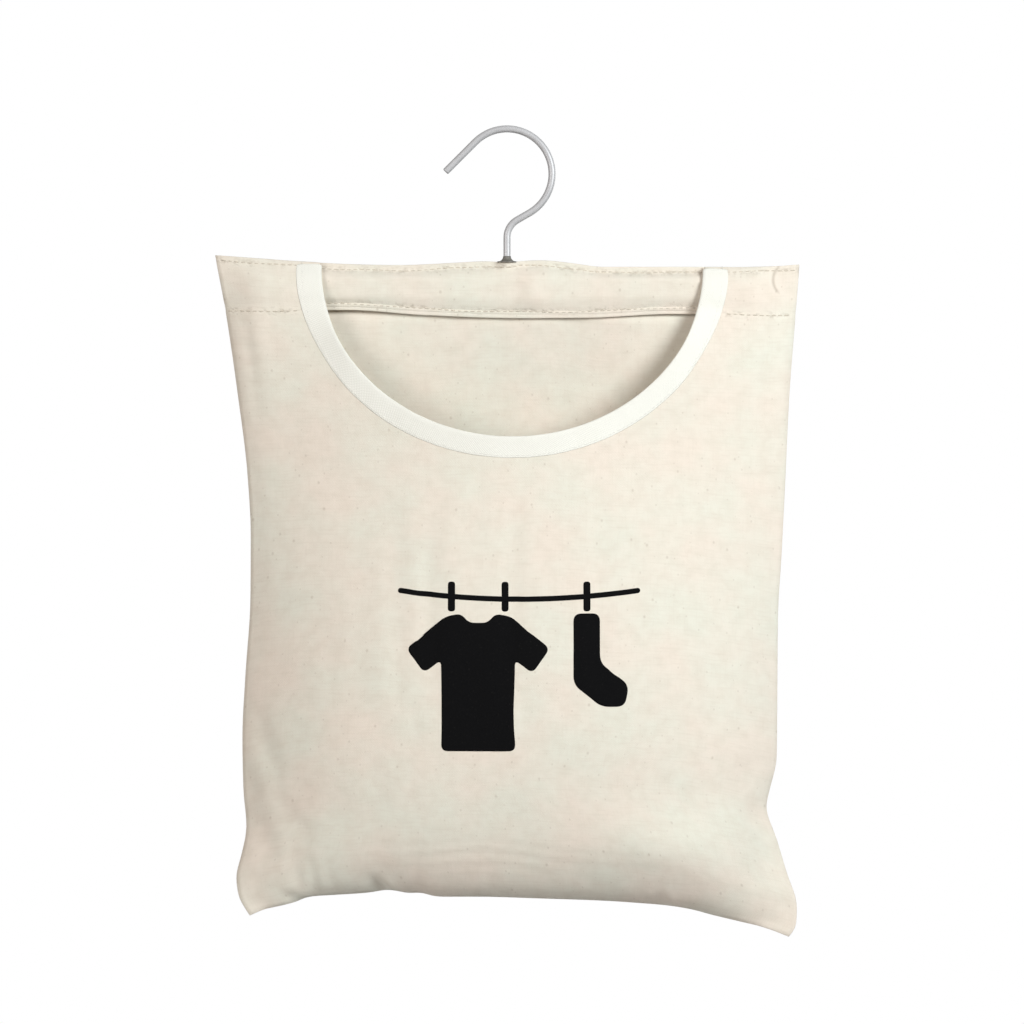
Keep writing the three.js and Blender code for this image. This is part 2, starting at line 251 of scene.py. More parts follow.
canvasLook = {
    # The slub colour on the next line serves for slub yarns and for painted shade in the hollows of the weave
    "warm": (0.893, 0.803, 0.700, 1), "cool": (0.848, 0.833, 0.725, 1), "slubAndHollowShade": (0.66, 0.58, 0.47, 1),
    # The last colour on the next line is painted shade for the gathers beside the stitches and for the crease
    "fleck": (0.30, 0.21, 0.13, 1), "paintedFoldShade": (0.36, 0.30, 0.23, 1),
    "blotches": ((26, 26, 1), 3.0, 0.5, 0.35, 0.65, 1.0),
    "slubs": [
        ((150, 150, 1), 4.0, 0.62, 0.40, 0.75, 0.27), ((80, 900, 1), 2.0, 0.5, 0.50, 0.80, 0.19),
        ((1100, 80, 1), 2.0, 0.5, 0.50, 0.80, 0.11),
    ],
    "gathers": ((300, 420, 1), 2.0, 0.5, 0.48, 0.70, 1.0),
    "sway": ((160, 160, 1), 2.0, 0.5, 0.0, 1.0, 0.8, -0.8),
    "hollows": (0.2, 1.3), "weaveShade": 0.10,
    "flecks": [(0.0090, 0.00095, 0.5, 0.4, 0.24), (0.0048, 0.00062, 0.5, 1.3, 0.20)],
    "pinchReach": (0.0002, 0.0026),
    "crease": {
        "middle": (0.1404, -0.0067, 0), "radius": 0.0085, "width": (0.0001, 0.0011), "ends": (0.0045, 0.0065),
    },
    "foldShade": 0.40, "foldDepth": 7.0, "threadPitch": 0.00042, "weaveDepth": 0.00004,
    "surface": {"Roughness": 0.92, "Specular IOR Level": 0.25, "Sheen Weight": 0.12, "Sheen Roughness": 0.5},
}
# The tape's shade colour serves for its cloudy tone and for painted shade in the hollows of the weave
tapeLook = {
    "colour": (0.925, 0.92, 0.85, 1), "shade": (0.84, 0.83, 0.75, 1), "weaveShade": 0.25,
    "clouds": ((45, 45, 1), 3.0, 0.5, 0.5, 0.8, 0.2), "ribPitch": 0.00055, "ribDepth": 0.00008,
    "surface": {"Roughness": 0.85, "Specular IOR Level": 0.3, "Sheen Weight": 0.1},
}
inkLook = {
    "colour": (0.006, 0.006, 0.0065, 1), "worn": (0.05, 0.047, 0.043, 1), "depth": 0.00008,
    "wear": ((900, 900, 1), 3.0, 0.5, 0.62, 0.85, 0.35),
    "surface": {"Roughness": 0.85, "Specular IOR Level": 0.03},
}


def weaveHeight(tree, pitch):
    sway = patches(tree, *canvasLook["sway"])
    parts = addNode(tree, "ShaderNodeSeparateXYZ", {0: flatPlaces(tree, (1 / pitch, 1 / pitch, 1))}).outputs
    threads = [mathNode("ADD", part, sway) for part in (parts[0], parts[1])]
    overs = [mathNode("SINE", times(thread, math.pi)) for thread in threads]
    ridges = [mathNode("ABSOLUTE", over) for over in overs]
    checker = times(times(*overs), 0.5)
    return mathNode("ADD", checker, mathNode("MAXIMUM", *ridges))


def fleckMask(tree, cell, size, share, turn, shade):
    inputs = {"Vector": flatPlaces(tree, (1, 0.8, 1), turn), "Scale": 1 / cell, "Randomness": 1.0}
    spots = addNode(tree, "ShaderNodeTexVoronoi", inputs, voronoi_dimensions="2D").outputs
    chance = addNode(tree, "ShaderNodeSeparateColor", {0: spots["Color"]}).outputs
    inside = mathNode("SUBTRACT", times(chance[1], size / cell), spots["Distance"])
    chosen = mathNode("LESS_THAN", chance[0], share)
    return times(ramp(inside, 0.0, 0.7 * size / cell, 0.0, shade), chosen)


# Cloth gathered beside the stitch lines: a mask for their bump and for painted shade in the cloth's colour
def pinchMask(tree):
    gap = addNode(tree, "ShaderNodeAttribute", attribute_name="stitchGap").outputs["Fac"]
    return times(patches(tree, *canvasLook["gathers"]), ramp(gap, *canvasLook["pinchReach"], 1.0, 0.0))


# Short bent crease near the top right corner: a mask for its bump and for painted shade along it
def creaseMask(tree):
    crease = canvasLook["crease"]
    inputs = {0: flatPlaces(tree), 1: crease["middle"]}
    away = addNode(tree, "ShaderNodeVectorMath", inputs, operation="SUBTRACT").outputs[0]
    reach = addNode(tree, "ShaderNodeVectorMath", {0: away}, operation="LENGTH").outputs["Value"]
    off = mathNode("ABSOLUTE", mathNode("SUBTRACT", reach, crease["radius"]))
    leftOf = times(addNode(tree, "ShaderNodeSeparateXYZ", {0: away}).outputs[0], -1.0)
    line = ramp(off, *crease["width"], 1.0, 0.0)
    return times(line, ramp(leftOf, *crease["ends"]))


def makeCanvas():
    material, tree = newMaterial("natural_canvas")
    look = canvasLook
    base = mixColour(patches(tree, *look["blotches"]), look["cool"], look["warm"])
    for slubAndHollowShade in look["slubs"]:
        base = mixColour(patches(tree, *slubAndHollowShade), base, look["slubAndHollowShade"])
    for fleck in look["flecks"]:
        base = mixColour(fleckMask(tree, *fleck), base, look["fleck"])
    weave = weaveHeight(tree, look["threadPitch"])
    # Painted shade: the hollows of the weave are mixed towards the slub colour
    hollows = ramp(weave, *look["hollows"], look["weaveShade"], 0.0)
    base = mixColour(hollows, base, look["slubAndHollowShade"])
    # Painted shade: the gathers and the crease are mixed towards a dark colour, and the same mask sinks the
    # bump
    folds = mathNode("MAXIMUM", pinchMask(tree), creaseMask(tree))
    base = mixColour(times(folds, look["foldShade"]), base, look["paintedFoldShade"])
    height = mathNode("SUBTRACT", weave, times(folds, look["foldDepth"]))
    bump = bumpFrom(height, look["weaveDepth"])
    return finishMaterial(material, {"Base Color": base, "Normal": bump, **look["surface"]})


def makeTapeCloth():
    material, tree = newMaterial("white_tape")
    look = tapeLook
    weave = weaveHeight(tree, look["ribPitch"])
    # Painted shade in the hollows of the weave, added to the cloudy worn patches
    hollows = ramp(weave, *canvasLook["hollows"], look["weaveShade"], 0.0)
    worn = mathNode("ADD", hollows, patches(tree, *look["clouds"]))
    base = mixColour(worn, look["colour"], look["shade"])
    bump = bumpFrom(weave, look["ribDepth"])
    return finishMaterial(material, {"Base Color": base, "Normal": bump, **look["surface"]})


def makeInk():
    material, tree = newMaterial("black_ink")
    look = inkLook
    base = mixColour(patches(tree, *look["wear"]), look["colour"], look["worn"])
    bump = bumpFrom(weaveHeight(tree, canvasLook["threadPitch"]), look["depth"])
    return finishMaterial(material, {"Base Color": base, "Normal": bump, **look["surface"]})


# Thread, metal and wood: two colours mixed by a fine grain. Glossy rays meet the white background, so the
# wire is a satin mix that keeps a light middle and darker edges.
steelLook = {
    "grain": (140, 140, 140), "detail": 3.0, "spread": (0.3, 0.7),
    "rough": ((900, 900, 900), 4.0, 0.3, 0.7, 0.40, 0.44),
    "colours": ((0.48, 0.48, 0.49, 1), (0.53, 0.53, 0.54, 1)),
    "surface": {"Metallic": 0.22, "Specular IOR Level": 0.0, "Specular Tint": (0.2, 0.2, 0.21, 1)},
}
collarLook = {
    "grain": (700, 700, 700), "detail": 4.0, "spread": (0.35, 0.7), "depth": 0.00003,
    "colours": ((0.18, 0.172, 0.155, 1), (0.25, 0.24, 0.215, 1)),
    "surface": {
        "Metallic": 0.25, "Specular IOR Level": 0.0, "Specular Tint": (0.2, 0.2, 0.2, 1), "Roughness": 0.35,
    },
}
woodLook = {
    "grain": (9, 260, 260), "detail": 5.0, "spread": (0.35, 0.7), "depth": 0.0001,
    "colours": ((0.62, 0.44, 0.26, 1), (0.42, 0.27, 0.14, 1)),
    "surface": {"Roughness": 0.6},
}


def threadLook(light, dark):
    return {
        "grain": (2600, 2600, 2600), "detail": 2.0, "spread": (0.35, 0.75), "depth": 0.00008,
        "colours": (light, dark),
        "surface": {"Roughness": 0.8},
    }


def grainNoise(tree, scale, detail):
    place = addNode(tree, "ShaderNodeTexCoord").outputs["Object"]
    scaled = addNode(tree, "ShaderNodeMapping", {"Vector": place, "Scale": scale}).outputs[0]
    return noiseNode(scaled, detail)


def makeGrained(name, look):
    material, tree = newMaterial(name)
    grain = grainNoise(tree, look["grain"], look["detail"])
    base = mixColour(ramp(grain, *look["spread"]), *look["colours"])
    sockets = {"Base Color": base, **look["surface"]}
    if "depth" in look:
        sockets["Normal"] = bumpFrom(grain, look["depth"])
    if "rough" in look:
        scale, detail, *span = look["rough"]
        sockets["Roughness"] = ramp(grainNoise(tree, scale, detail), *span)
    return finishMaterial(material, sockets)


canvasCloth = makeCanvas()
tapeCloth = makeTapeCloth()
blackInk = makeInk()
canvasThread = makeGrained("natural_thread", threadLook((0.70, 0.63, 0.52, 1), (0.49, 0.441, 0.364, 1)))
tapeThread = makeGrained("white_thread", threadLook((0.90, 0.89, 0.83, 1), (0.63, 0.623, 0.581, 1)))
wireSteel = makeGrained("plated_wire", steelLook)
collarMetal = makeGrained("darkened_collar", collarLook)
barWood = makeGrained("plain_wood", woodLook)
print("materials made")


# Outline of the hanging bag from the front. Sides are (height, across), top and bottom are (across, height).
bag = {
    "leftEdge": [
        (-0.3912, -0.1285), (-0.3818, -0.1336), (-0.3718, -0.1348), (-0.3618, -0.1323), (-0.3468, -0.1296),
        (-0.3268, -0.1312), (-0.3018, -0.1316), (-0.2718, -0.1302), (-0.2318, -0.1277), (-0.2018, -0.1276),
        (-0.1718, -0.1292), (-0.1318, -0.1340), (-0.0918, -0.1397), (-0.0617, -0.1455),
    ],
    "rightEdge": [
        (-0.4018, 0.1408), (-0.3965, 0.1444), (-0.3868, 0.1447), (-0.3718, 0.1400), (-0.3518, 0.1338),
        (-0.3370, 0.1289), (-0.3298, 0.1303), (-0.3118, 0.1342), (-0.2818, 0.1345), (-0.2418, 0.1349),
        (-0.2118, 0.1367), (-0.1718, 0.1388), (-0.1318, 0.1407), (-0.0918, 0.1437), (-0.0663, 0.1458),
    ],
    "topEdge": [
        (-0.1455, -0.0617), (-0.1235, -0.0637), (-0.1035, -0.0652), (-0.0635, -0.0669), (-0.0535, -0.0670),
        (-0.0235, -0.0656), (-0.0075, -0.0648), (0.0000, -0.0655), (0.0075, -0.0646), (0.0165, -0.0645),
        (0.0365, -0.0665), (0.0465, -0.0679), (0.0865, -0.0679), (0.1165, -0.0681), (0.1365, -0.0673),
        (0.1458, -0.0663),
    ],
    "bottomEdge": [
        (-0.1285, -0.3912), (-0.1215, -0.3879), (-0.1125, -0.3855), (-0.1035, -0.3828), (-0.0995, -0.3810),
        (-0.0845, -0.3800), (-0.0685, -0.3789), (-0.0595, -0.3775), (-0.0555, -0.3780), (-0.0485, -0.3793),
        (-0.0435, -0.3789), (-0.0350, -0.3810), (-0.0135, -0.3811), (0.0165, -0.3820), (0.0465, -0.3830),
        (0.0715, -0.3846), (0.0795, -0.3853), (0.0915, -0.3871), (0.1035, -0.3902), (0.1195, -0.3943),
        (0.1315, -0.3981), (0.1408, -0.4018),
    ],
    "flatWidthTop": 0.290, "flatWidthWaist": 0.279, "flatHeight": 0.335, "columns": 68, "rows": 80,
    "frontBulge": 0.036, "backBulge": 0.017,
    "frontSlack": {"start": 0.02, "above": 1.1, "below": 0.60},
    "backSlack": {"start": 0.088, "above": 0.85, "below": 0.5},
    "roundTop": 2.0, "roundBottom": 4.0, "earSizes": (0.007, 0.026), "earFlat": 0.8,
    "topLayers": 0.0016, "clothThickness": 0.0005, "foldDepth": 0.0010, "refineLevel": 1,
}
casing = {
    "edge": [
        (-0.1390, -0.0905), (-0.1000, -0.0892), (-0.0795, -0.0889), (-0.0400, -0.0915), (0.0065, -0.0930),
        (0.0400, -0.0928), (0.0830, -0.0909), (0.1390, -0.0930),
    ],
    "stitchAbove": 0.0030, "stitchBelowTop": 0.0022, "stitchWander": 0.0003,
    "shoulder": (-0.0896, -0.0918), "shoulderSpan": 0.28, "endAt": 0.139, "depth": 0.0002,
    "topLean": 0.0008, "lowLean": 0.0032, "columns": 150, "rows": 34, "hemRise": 0.0001,
    "hemReach": (0.0005, 0.0062),
    "soft": [(0.0007, (34, 18), 41), (0.0003, (90, 60), 43)],
    "softBlend": 0.006,
    "pull": {"height": 0.0010, "at": 0.0125, "width": 0.0055},
    "groove": 0.0001, "grooveWidth": 0.0016, "collarSpread": 0.0030, "collarReach": 0.0055,
}
bar = {
    "edgeRadius": 0.0035, "slip": 0.0003, "shoulderIn": 0.0036, "room": 0.0009, "under": 0.008,
    "underDepth": -0.005, "blend": 0.003,
}
mouth = {"middle": (0.0026, -0.0668), "across": 0.0962, "down": 0.0866, "flare": 0.005, "flareReach": 0.3}

leftEdge, rightEdge, topEdge, bottomEdge = (
    smoothLine(bag[side]) for side in ("leftEdge", "rightEdge", "topEdge", "bottomEdge")
)
casingEdge = smoothLine(casing["edge"])
topLeft, topRight = bag["topEdge"][0], bag["topEdge"][-1]
bottomLeft, bottomRight = bag["bottomEdge"][0], bag["bottomEdge"][-1]


def topSeam(x):
    return topEdge(x) - casing["stitchBelowTop"]


def casingSeam(x):
    return casingEdge(x) + casing["stitchAbove"]


def topLine(x):
    return topSeam(x) + casing["stitchWander"] * np.sin(x * 160)


def lowWander(x):
    return casing["stitchWander"] * np.sin(x * 130 + 1)


def lowLine(x):
    return casingSeam(x) + lowWander(x)


def shoulderLine(x):
    return lerp(*casing["shoulder"], x / casing["shoulderSpan"] + 0.5) + lowWander(x)


def stitchGap(points, lower):
    x, z = points[:, 0], points[:, 2]
    return np.minimum(np.abs(z - topLine(x)), np.abs(z - lower(x)))


def sidesAt(down):
    left = leftEdge(lerp(topLeft[1], bottomLeft[1], down))
    return left, rightEdge(lerp(topRight[1], bottomRight[1], down))


def endsAt(across):
    top = topEdge(lerp(topLeft[0], topRight[0], across))
    return top, bottomEdge(lerp(bottomLeft[0], bottomRight[0], across))


# across runs 0 to 1 from the left seam to the right, down runs 0 to 1 from the top edge to the bottom seam
def hungPlace(across, down):
    return lerp(*sidesAt(down), across), lerp(*endsAt(across), down)


def patternShare(x, z):
    down = np.full(np.shape(x), 0.5)
    for _ in range(14):
        left, right = sidesAt(down)
        across = (x - left) / (right - left)
        top, bottom = endsAt(across)
        down = np.clip((z - top) / (bottom - top), 0, 1)
    return across, down


def flatPlace(across, down):
    width = lerp(bag["flatWidthTop"], bag["flatWidthWaist"], np.clip(down / 0.5, 0, 1))
    return (across - 0.5) * width, -down * bag["flatHeight"]


def flatOf(x, z):
    return flatPlace(*patternShare(x, z))


def mouthShare(x, z):
    return np.hypot((x - mouth["middle"][0]) / mouth["across"], (z - mouth["middle"][1]) / mouth["down"])


# Depth of the cloth over the bar, taut between the stitch lines, which the pouch's load draws to the front
def tunnelDepth(x, z, side):
    half = (barHigh.y - barLow.y) / 2 + bar["slip"]
    shoulder = (barHigh.z - barLow.z) / 2 - bar["shoulderIn"]
    high, low = topSeam(x), casingSeam(x)
    above = np.clip((high - z) / (high - barMidZ - shoulder), 0, 1)
    below = np.clip((z - low) / (barMidZ - shoulder - low), 0, 1)
    share = np.sin(np.minimum(above, below) * math.pi / 2)
    lean = lerp(casing["topLean"], casing["lowLean"], smoothStep(high - z, 0, 0.02))
    lean = lean * (1 - smoothStep(low - z, 0, 0.07))
    depth = half * share - side * lean * (1 - share)
    if side > 0:
        rounding = np.clip(np.abs(z - barMidZ) - shoulder, 0, bar["edgeRadius"])
        hug = half + bar["room"] - bar["edgeRadius"] + np.sqrt(bar["edgeRadius"] ** 2 - rounding ** 2)
        under = lerp(hug, bar["underDepth"], smoothStep(barLow.z - z, 0, bar["under"]))
        beside = (z < barHigh.z) & (z > barLow.z - bar["under"])
        depth = np.where(beside, np.maximum(depth, np.where(z < barLow.z, under, hug)), depth)
    depth = depth * (1 - smoothStep(np.abs(x), barHigh.x, casing["endAt"]))
    aboveBar = smoothStep(z, barHigh.z - bar["blend"], barHigh.z)
    spread = casing["collarSpread"] * bell(x, casing["collarReach"]) * aboveBar
    return np.where(spread > 0.0001, np.maximum(depth, spread), depth)


# Share of a panel's full depth: none where it is held above and at the bottom seam, 1 where it is fullest
def fullness(down, slack):
    share = np.clip((down - slack["start"]) / (1 - slack["start"]), 0, 1)
    most = slack["above"] / (slack["above"] + slack["below"])
    peak = most ** slack["above"] * (1 - most) ** slack["below"]
    return share ** slack["above"] * (1 - share) ** slack["below"] / peak


def startDepth(across, down, x, z, side):
    offMiddle = np.abs(2 * across - 1)
    cross = 1 - offMiddle ** lerp(bag["roundTop"], bag["roundBottom"], down ** 3)
    for corner, size in zip((bottomLeft, bottomRight), bag["earSizes"]):
        cross = cross * (1 - bag["earFlat"] * bell(np.hypot(x - corner[0], z - corner[1]), size))
    room = tunnelDepth(x, z, side)
    if side > 0:
        return room + bag["backBulge"] * fullness(down, bag["backSlack"]) * cross
    layers = bag["topLayers"] * (1 - smoothStep(offMiddle, 0.95, 1)) * (1 - smoothStep(down, 0.1, 0.3))
    flare = mouth["flare"] * np.exp((1 - mouthShare(x, z)) / mouth["flareReach"])
    flare = flare * smoothStep(down, 0.02, 0.14)
    return -(room + layers + flare + bag["frontBulge"] * fullness(down, bag["frontSlack"]) * cross)


def gridShares():
    down, across = np.linspace(0, 1, bag["rows"] + 1), np.linspace(0, 1, bag["columns"] + 1)
    return np.meshgrid(down, across, indexing="ij")


# Grid of the front with its mouth cut out: points near the mouth's line move along the grid onto it
def cutGrid():
    down, across = gridShares()
    out = mouthShare(*hungPlace(across, down)) - 1
    moves = {}
    rowCount, columnCount = out.shape
    for i in range(rowCount):
        for j in range(columnCount):
            for other in ((i + 1, j), (i, j + 1)):
                if other[0] >= rowCount or other[1] >= columnCount or out[i, j] * out[other] >= 0:
                    continue
                share = out[i, j] / (out[i, j] - out[other])
                near, far, part = ((i, j), other, share) if share < 0.5 else (other, (i, j), 1 - share)
                if near not in moves or part < moves[near][0]:
                    moves[near] = (part, *(lerp(grid[near], grid[far], part) for grid in (across, down)))
    state = np.sign(out).astype(int)
    for near, (_, a, d) in moves.items():
        across[near], down[near], state[near] = a, d, 0
    faces = []
    for i in range(rowCount - 1):
        for j in range(columnCount - 1):
            ring = [(i, j), (i + 1, j), (i + 1, j + 1), (i, j + 1)]
            inside = [k for k in range(4) if state[ring[k]] < 0]
            if len(inside) == 1:
                ring = [ring[(inside[0] + k) % 4] for k in (1, 2, 3)]
            cloth = [corner for corner in ring if state[corner] > 0]
            if len(inside) == 0 and cloth or len(inside) == 1 and state[ring[1]] > 0:
                faces.append(tuple(a * columnCount + b for a, b in ring))
    return across.ravel(), down.ravel(), state.ravel(), faces


drape = {
    "steps": 34,
    "cloth": {
        "quality": 7, "mass": 0.12, "air_damping": 3.0,
        "tension_stiffness": 60.0, "compression_stiffness": 30.0, "shear_stiffness": 18.0,
        "tension_damping": 12.0, "compression_damping": 12.0, "shear_damping": 12.0,
        "bending_stiffness": 4.0, "bending_damping": 1.0,
        "vertex_group_mass": "hold", "pin_stiffness": 6.0,
        "use_pressure": True, "uniform_pressure_force": 8.0, "vertex_group_pressure": "fill",
    },
    "backPressure": 0.6, "load": (0.12, 0.75), "shapeHold": 0.10, "seamHold": 0.55, "mouthHold": 0.60,
    "bottomHold": 0.35,
}


def simulate(points, flat, faces, groups):
    piece = newPiece("drape", points, faces)
    piece.shape_key_add(name="hung")
    cut = piece.shape_key_add(name="cut")
    cut.data.foreach_set("co", np.column_stack([flat[:, 0], np.zeros(len(flat)), flat[:, 1]]).ravel())
    for name, weights in groups.items():
        group = piece.vertex_groups.new(name=name)
        for index, weight in enumerate(weights):
            group.add([index], float(weight), "REPLACE")
    cloth = piece.modifiers.new("cloth", "CLOTH")
    for name, value in drape["cloth"].items():
        setattr(cloth.settings, name, value)
    cloth.settings.rest_shape_key = cut
    cloth.collision_settings.use_collision = False
    cloth.point_cache.frame_start = 1
    cloth.point_cache.frame_end = drape["steps"]
    scene = bpy.context.scene
    for step in range(1, drape["steps"] + 1):
        scene.frame_set(step)
    moved = readVectors(piece.evaluated_get(bpy.context.evaluated_depsgraph_get()).data.vertices, "co")
    scene.frame_set(1)
    dropPiece(piece)
    return moved


# Points that the faces use, and the faces counted among them
def compact(faces):
    used, order = np.unique(np.concatenate(faces), return_inverse=True)
    return used, np.split(order, np.cumsum([len(face) for face in faces])[:-1])


# The front's points come first, then the back's; along the seams the back uses the front's points
def hangCloth():
    across, down, state, frontFaces = cutGrid()
    count = len(across)
    backDown, backAcross = (part.ravel() for part in gridShares())
    seam = (backAcross == 0) | (backAcross == 1) | (backDown == 1)
    panels = []
    for a, d, side in ((across, down, -1), (backAcross, backDown, 1)):
        x, z = hungPlace(a, d)
        panels.append(np.column_stack([x, startDepth(a, d, x, z, side), z]))
    points = np.vstack(panels)
    points[:count][seam, 1] = 0
    across, down = np.concatenate([across, backAcross]), np.concatenate([down, backDown])
    backIndex = np.arange(count) + np.where(seam, 0, count)
    backGrid = gridFaces(bag["rows"] + 1, bag["columns"] + 1)
    backFaces = [backIndex[list(reversed(face))] for face in backGrid]
    used, faces = compact(frontFaces + backFaces)
    none = np.zeros(count, bool)
    edge, rim = np.concatenate([seam, none]), np.concatenate([state == 0, none])
    hold = np.full(len(points), drape["shapeHold"])
    hold[edge] = drape["seamHold"]
    hold[edge & (down == 1)] = drape["bottomHold"]
    hold[rim] = drape["mouthHold"]
    corner = edge & (down > 0.985) & ((across < 0.02) | (across > 0.98))
    stitched = points[:, 2] >= np.minimum(casingSeam(points[:, 0]), barLow.z - bar["blend"])
    hold[stitched | corner] = 1
    isFront = np.arange(len(points)) < count
    fill = smoothStep(down, *drape["load"]) * np.where(isFront, 1, drape["backPressure"])
    flat = np.column_stack(flatPlace(across, down))
    moved = simulate(points[used], flat[used], faces, {"hold": hold[used], "fill": fill[used]})
    print("cloth moved by up to", round(float(np.abs(moved - points[used]).max()), 4), "m")
    points[used] = moved
    return points, np.column_stack([across, down]), frontFaces, backFaces


# A sheet keeps its flat pattern beside its hung form, so that a place on the pattern is found on the cloth
def seat(sheet):
    piece = newPiece("normals", sheet["points"], sheet["faces"])
    sheet["normals"] = readVectors(piece.data.vertex_normals, "vector")
    dropPiece(piece)
    sheet["corners"] = [Vector((x, z, 0)) for x, z in sheet["flat"]]
    sheet["tree"] = BVHTree.FromPolygons(sheet["corners"], sheet["faces"])
    return sheet


def makeSheet(points, shares, faces):
    used, local = compact(faces)
    fine, fineFaces = refine(points[used], local, bag["refineLevel"])
    pattern, _ = refine(np.column_stack([shares[used], np.zeros(len(used))]), local, bag["refineLevel"])
    flat = np.column_stack(flatPlace(*pattern[:, :2].T))
    return seat({"points": fine, "faces": fineFaces, "shares": pattern[:, :2], "flat": flat})


def onCloth(sheet, flatX, flatZ):
    found, _, index, _ = sheet["tree"].find_nearest(Vector((flatX, flatZ, 0)))
    face = list(sheet["faces"][index])
    weights = np.array(poly_3d_calc([sheet["corners"][k] for k in face], found))
    normal = weights @ sheet["normals"][face]
    return weights @ sheet["points"][face], normal / np.linalg.norm(normal)


# Turned edges: each profile row is (outward, inward below the outer face)
turnedSeam = [(0.0003, 0.0003), (0.0002, 0.0008), (-0.0016, 0.0010)]
turnedHem = [(0.0002, 0.0002), (0.0002, 0.0004), (-0.0050, 0.0005)]


def addTurnedEdge(sheet, keepPlain, profile):
    points, normals = sheet["points"], sheet["normals"]
    uses = {}
    for face in sheet["faces"]:
        for edge in zip(face, face[1:] + face[:1]):
            uses.setdefault(frozenset(edge), []).append(edge)
    rim = []
    ways = {1: np.zeros(points.shape), 2: np.zeros(points.shape)}  # along the rim, and from within
    for edges in uses.values():
        a, b = edges[0]
        if len(edges) == 1:
            if keepPlain[a] and keepPlain[b]:
                continue
            rim.append((a, b))
        ways[len(edges)][a] += points[a] - points[b]
        ways[len(edges)][b] += points[b] - points[a]
    order = sorted({index for edge in rim for index in edge})
    place = {index: k for k, index in enumerate(order)}
    within = ways[2][order]
    outward = np.where(within.any(axis=1)[:, None], within, ways[1][order])
    outward /= np.linalg.norm(outward, axis=1)[:, None]
    rings = [points[order] + out * outward - below * normals[order] for out, below in profile]
    faces = list(sheet["faces"])
    for a, b in rim:
        last = (a, b)
        for k in range(len(profile)):
            start = len(points) + k * len(order)
            ring = (start + place[a], start + place[b])
            faces.append((last[1], last[0], *ring))
            last = ring
    source = np.concatenate([np.arange(len(points))] + [order] * len(profile))
    return np.vstack([points, *rings]), faces, source


def finishSheet(name, sheet, keepPlain, profile):
    points, faces, source = addTurnedEdge(sheet, keepPlain, profile)
    piece = newPiece(name, points, faces)
    gap = piece.data.attributes.new("stitchGap", "FLOAT", "POINT")
    gap.data.foreach_set("value", sheet["gap"][source])
    return dress(piece, canvasCloth, sheet["flat"][source], wall=bag["clothThickness"])


# Soft unevenness of the cloth, seam puckers, creases and a sag low on the front, tucks in the bottom seam
relief = {
    "waves": [((22, 16), 0.00055, 3), ((46, 40), 0.00026, 5), ((95, 80), 0.00011, 8)],
    "calmTop": 0.35, "seamFade": 0.012, "puckerPitch": 0.0125, "puckerHeight": 0.0005,
    "puckerReach": 0.007, "stitchPull": 0.00035, "stitchReach": 0.0022,
    "creases": {
        "x": -0.015, "width": 0.070, "down": 0.925, "reach": 0.030, "height": 0.00022, "pitch": 0.0062,
    },
    "sag": {"left": 0.0006, "right": 0.0034, "blend": (0.0, 0.075), "above": 0.032, "reach": 0.017},
    "sagEnds": ((-0.125, -0.095), (0.090, 0.118)),
    "tucks": [
        (-0.1150, 0.0040, 0.0016, 0.006), (-0.0690, 0.0045, 0.0022, 0.009), (0.0740, 0.0035, 0.0014, 0.007),
    ],
}


def surfaceRelief(sheet, seed):
    flat = sheet["flat"]
    across, down = sheet["shares"].T
    height = sum(size * noiseAt(flat, scale, start + seed) for scale, size, start in relief["waves"])
    below = smoothStep(down, 0.08, 0.16)
    toSide = np.minimum(across, 1 - across) * bag["flatWidthWaist"]
    toBottom = (1 - down) * bag["flatHeight"]
    calm = lerp(relief["calmTop"], 1, below)
    height *= calm * smoothStep(np.minimum(toSide, toBottom), 0, relief["seamFade"])
    wander = noiseAt(flat, (30, 30), 11 + seed)
    patches = noiseAt(flat, (18, 18), 17 + seed)
    for distance, along in ((toSide, flat[:, 1]), (toBottom, flat[:, 0])):
        reach = distance / relief["puckerReach"]
        strength = relief["puckerHeight"] * reach * np.exp(1 - reach) * below * np.abs(patches)
        height += strength * np.sin(2 * math.pi * (along / relief["puckerPitch"] + 1.4 * wander))
    x, z = sheet["points"][:, 0], sheet["points"][:, 2]
    for seam in (topSeam, casingSeam):
        height -= relief["stitchPull"] * bell(z - seam(x), relief["stitchReach"])
    return height


def lowCreases(sheet):
    down = sheet["shares"][:, 1]
    x, z = sheet["flat"].T
    creases, sag, (leftEnd, rightEnd) = relief["creases"], relief["sag"], relief["sagEnds"]
    patch = bell(x - creases["x"], creases["width"]) * bell(down - creases["down"], creases["reach"])
    bend = z + 0.0030 * np.sin(x * 38) + 0.007 * noiseAt(sheet["flat"], (16, 12), 21)
    height = creases["height"] * patch * np.sin(2 * math.pi * bend / creases["pitch"])
    toBottom = (1 - down) * bag["flatHeight"]
    sagging = lerp(sag["left"], sag["right"], smoothStep(x, *sag["blend"]))
    sagging = sagging * smoothStep(x, *leftEnd) * (1 - smoothStep(x, *rightEnd))
    height += sagging * bell(toBottom - sag["above"], sag["reach"])
    for middle, width, depth, reach in relief["tucks"]:
        side = (x - middle + 0.5 * toBottom) / width
        near = bell(toBottom, reach) * smoothStep(toBottom, 0, 0.003)
        height += depth * near * (0.7 * bell(side - 1.5, 1) - bell(side, 1))
    return height


hungPoints, hungShares, frontFaces, backFaces = hangCloth()
frontSheet = makeSheet(hungPoints, hungShares, frontFaces)
backSheet = makeSheet(hungPoints, hungShares, backFaces)
frontRelief = surfaceRelief(frontSheet, 0) + lowCreases(frontSheet)
backRelief = surfaceRelief(backSheet, 30)
for sheet, height, line in ((frontSheet, frontRelief, shoulderLine), (backSheet, backRelief, lowLine)):
    sheet["points"] += sheet["normals"] * (bag["foldDepth"] + height)[:, None]
    sheet["gap"] = stitchGap(sheet["points"], line)
    seat(sheet)
print("cloth panels hung")

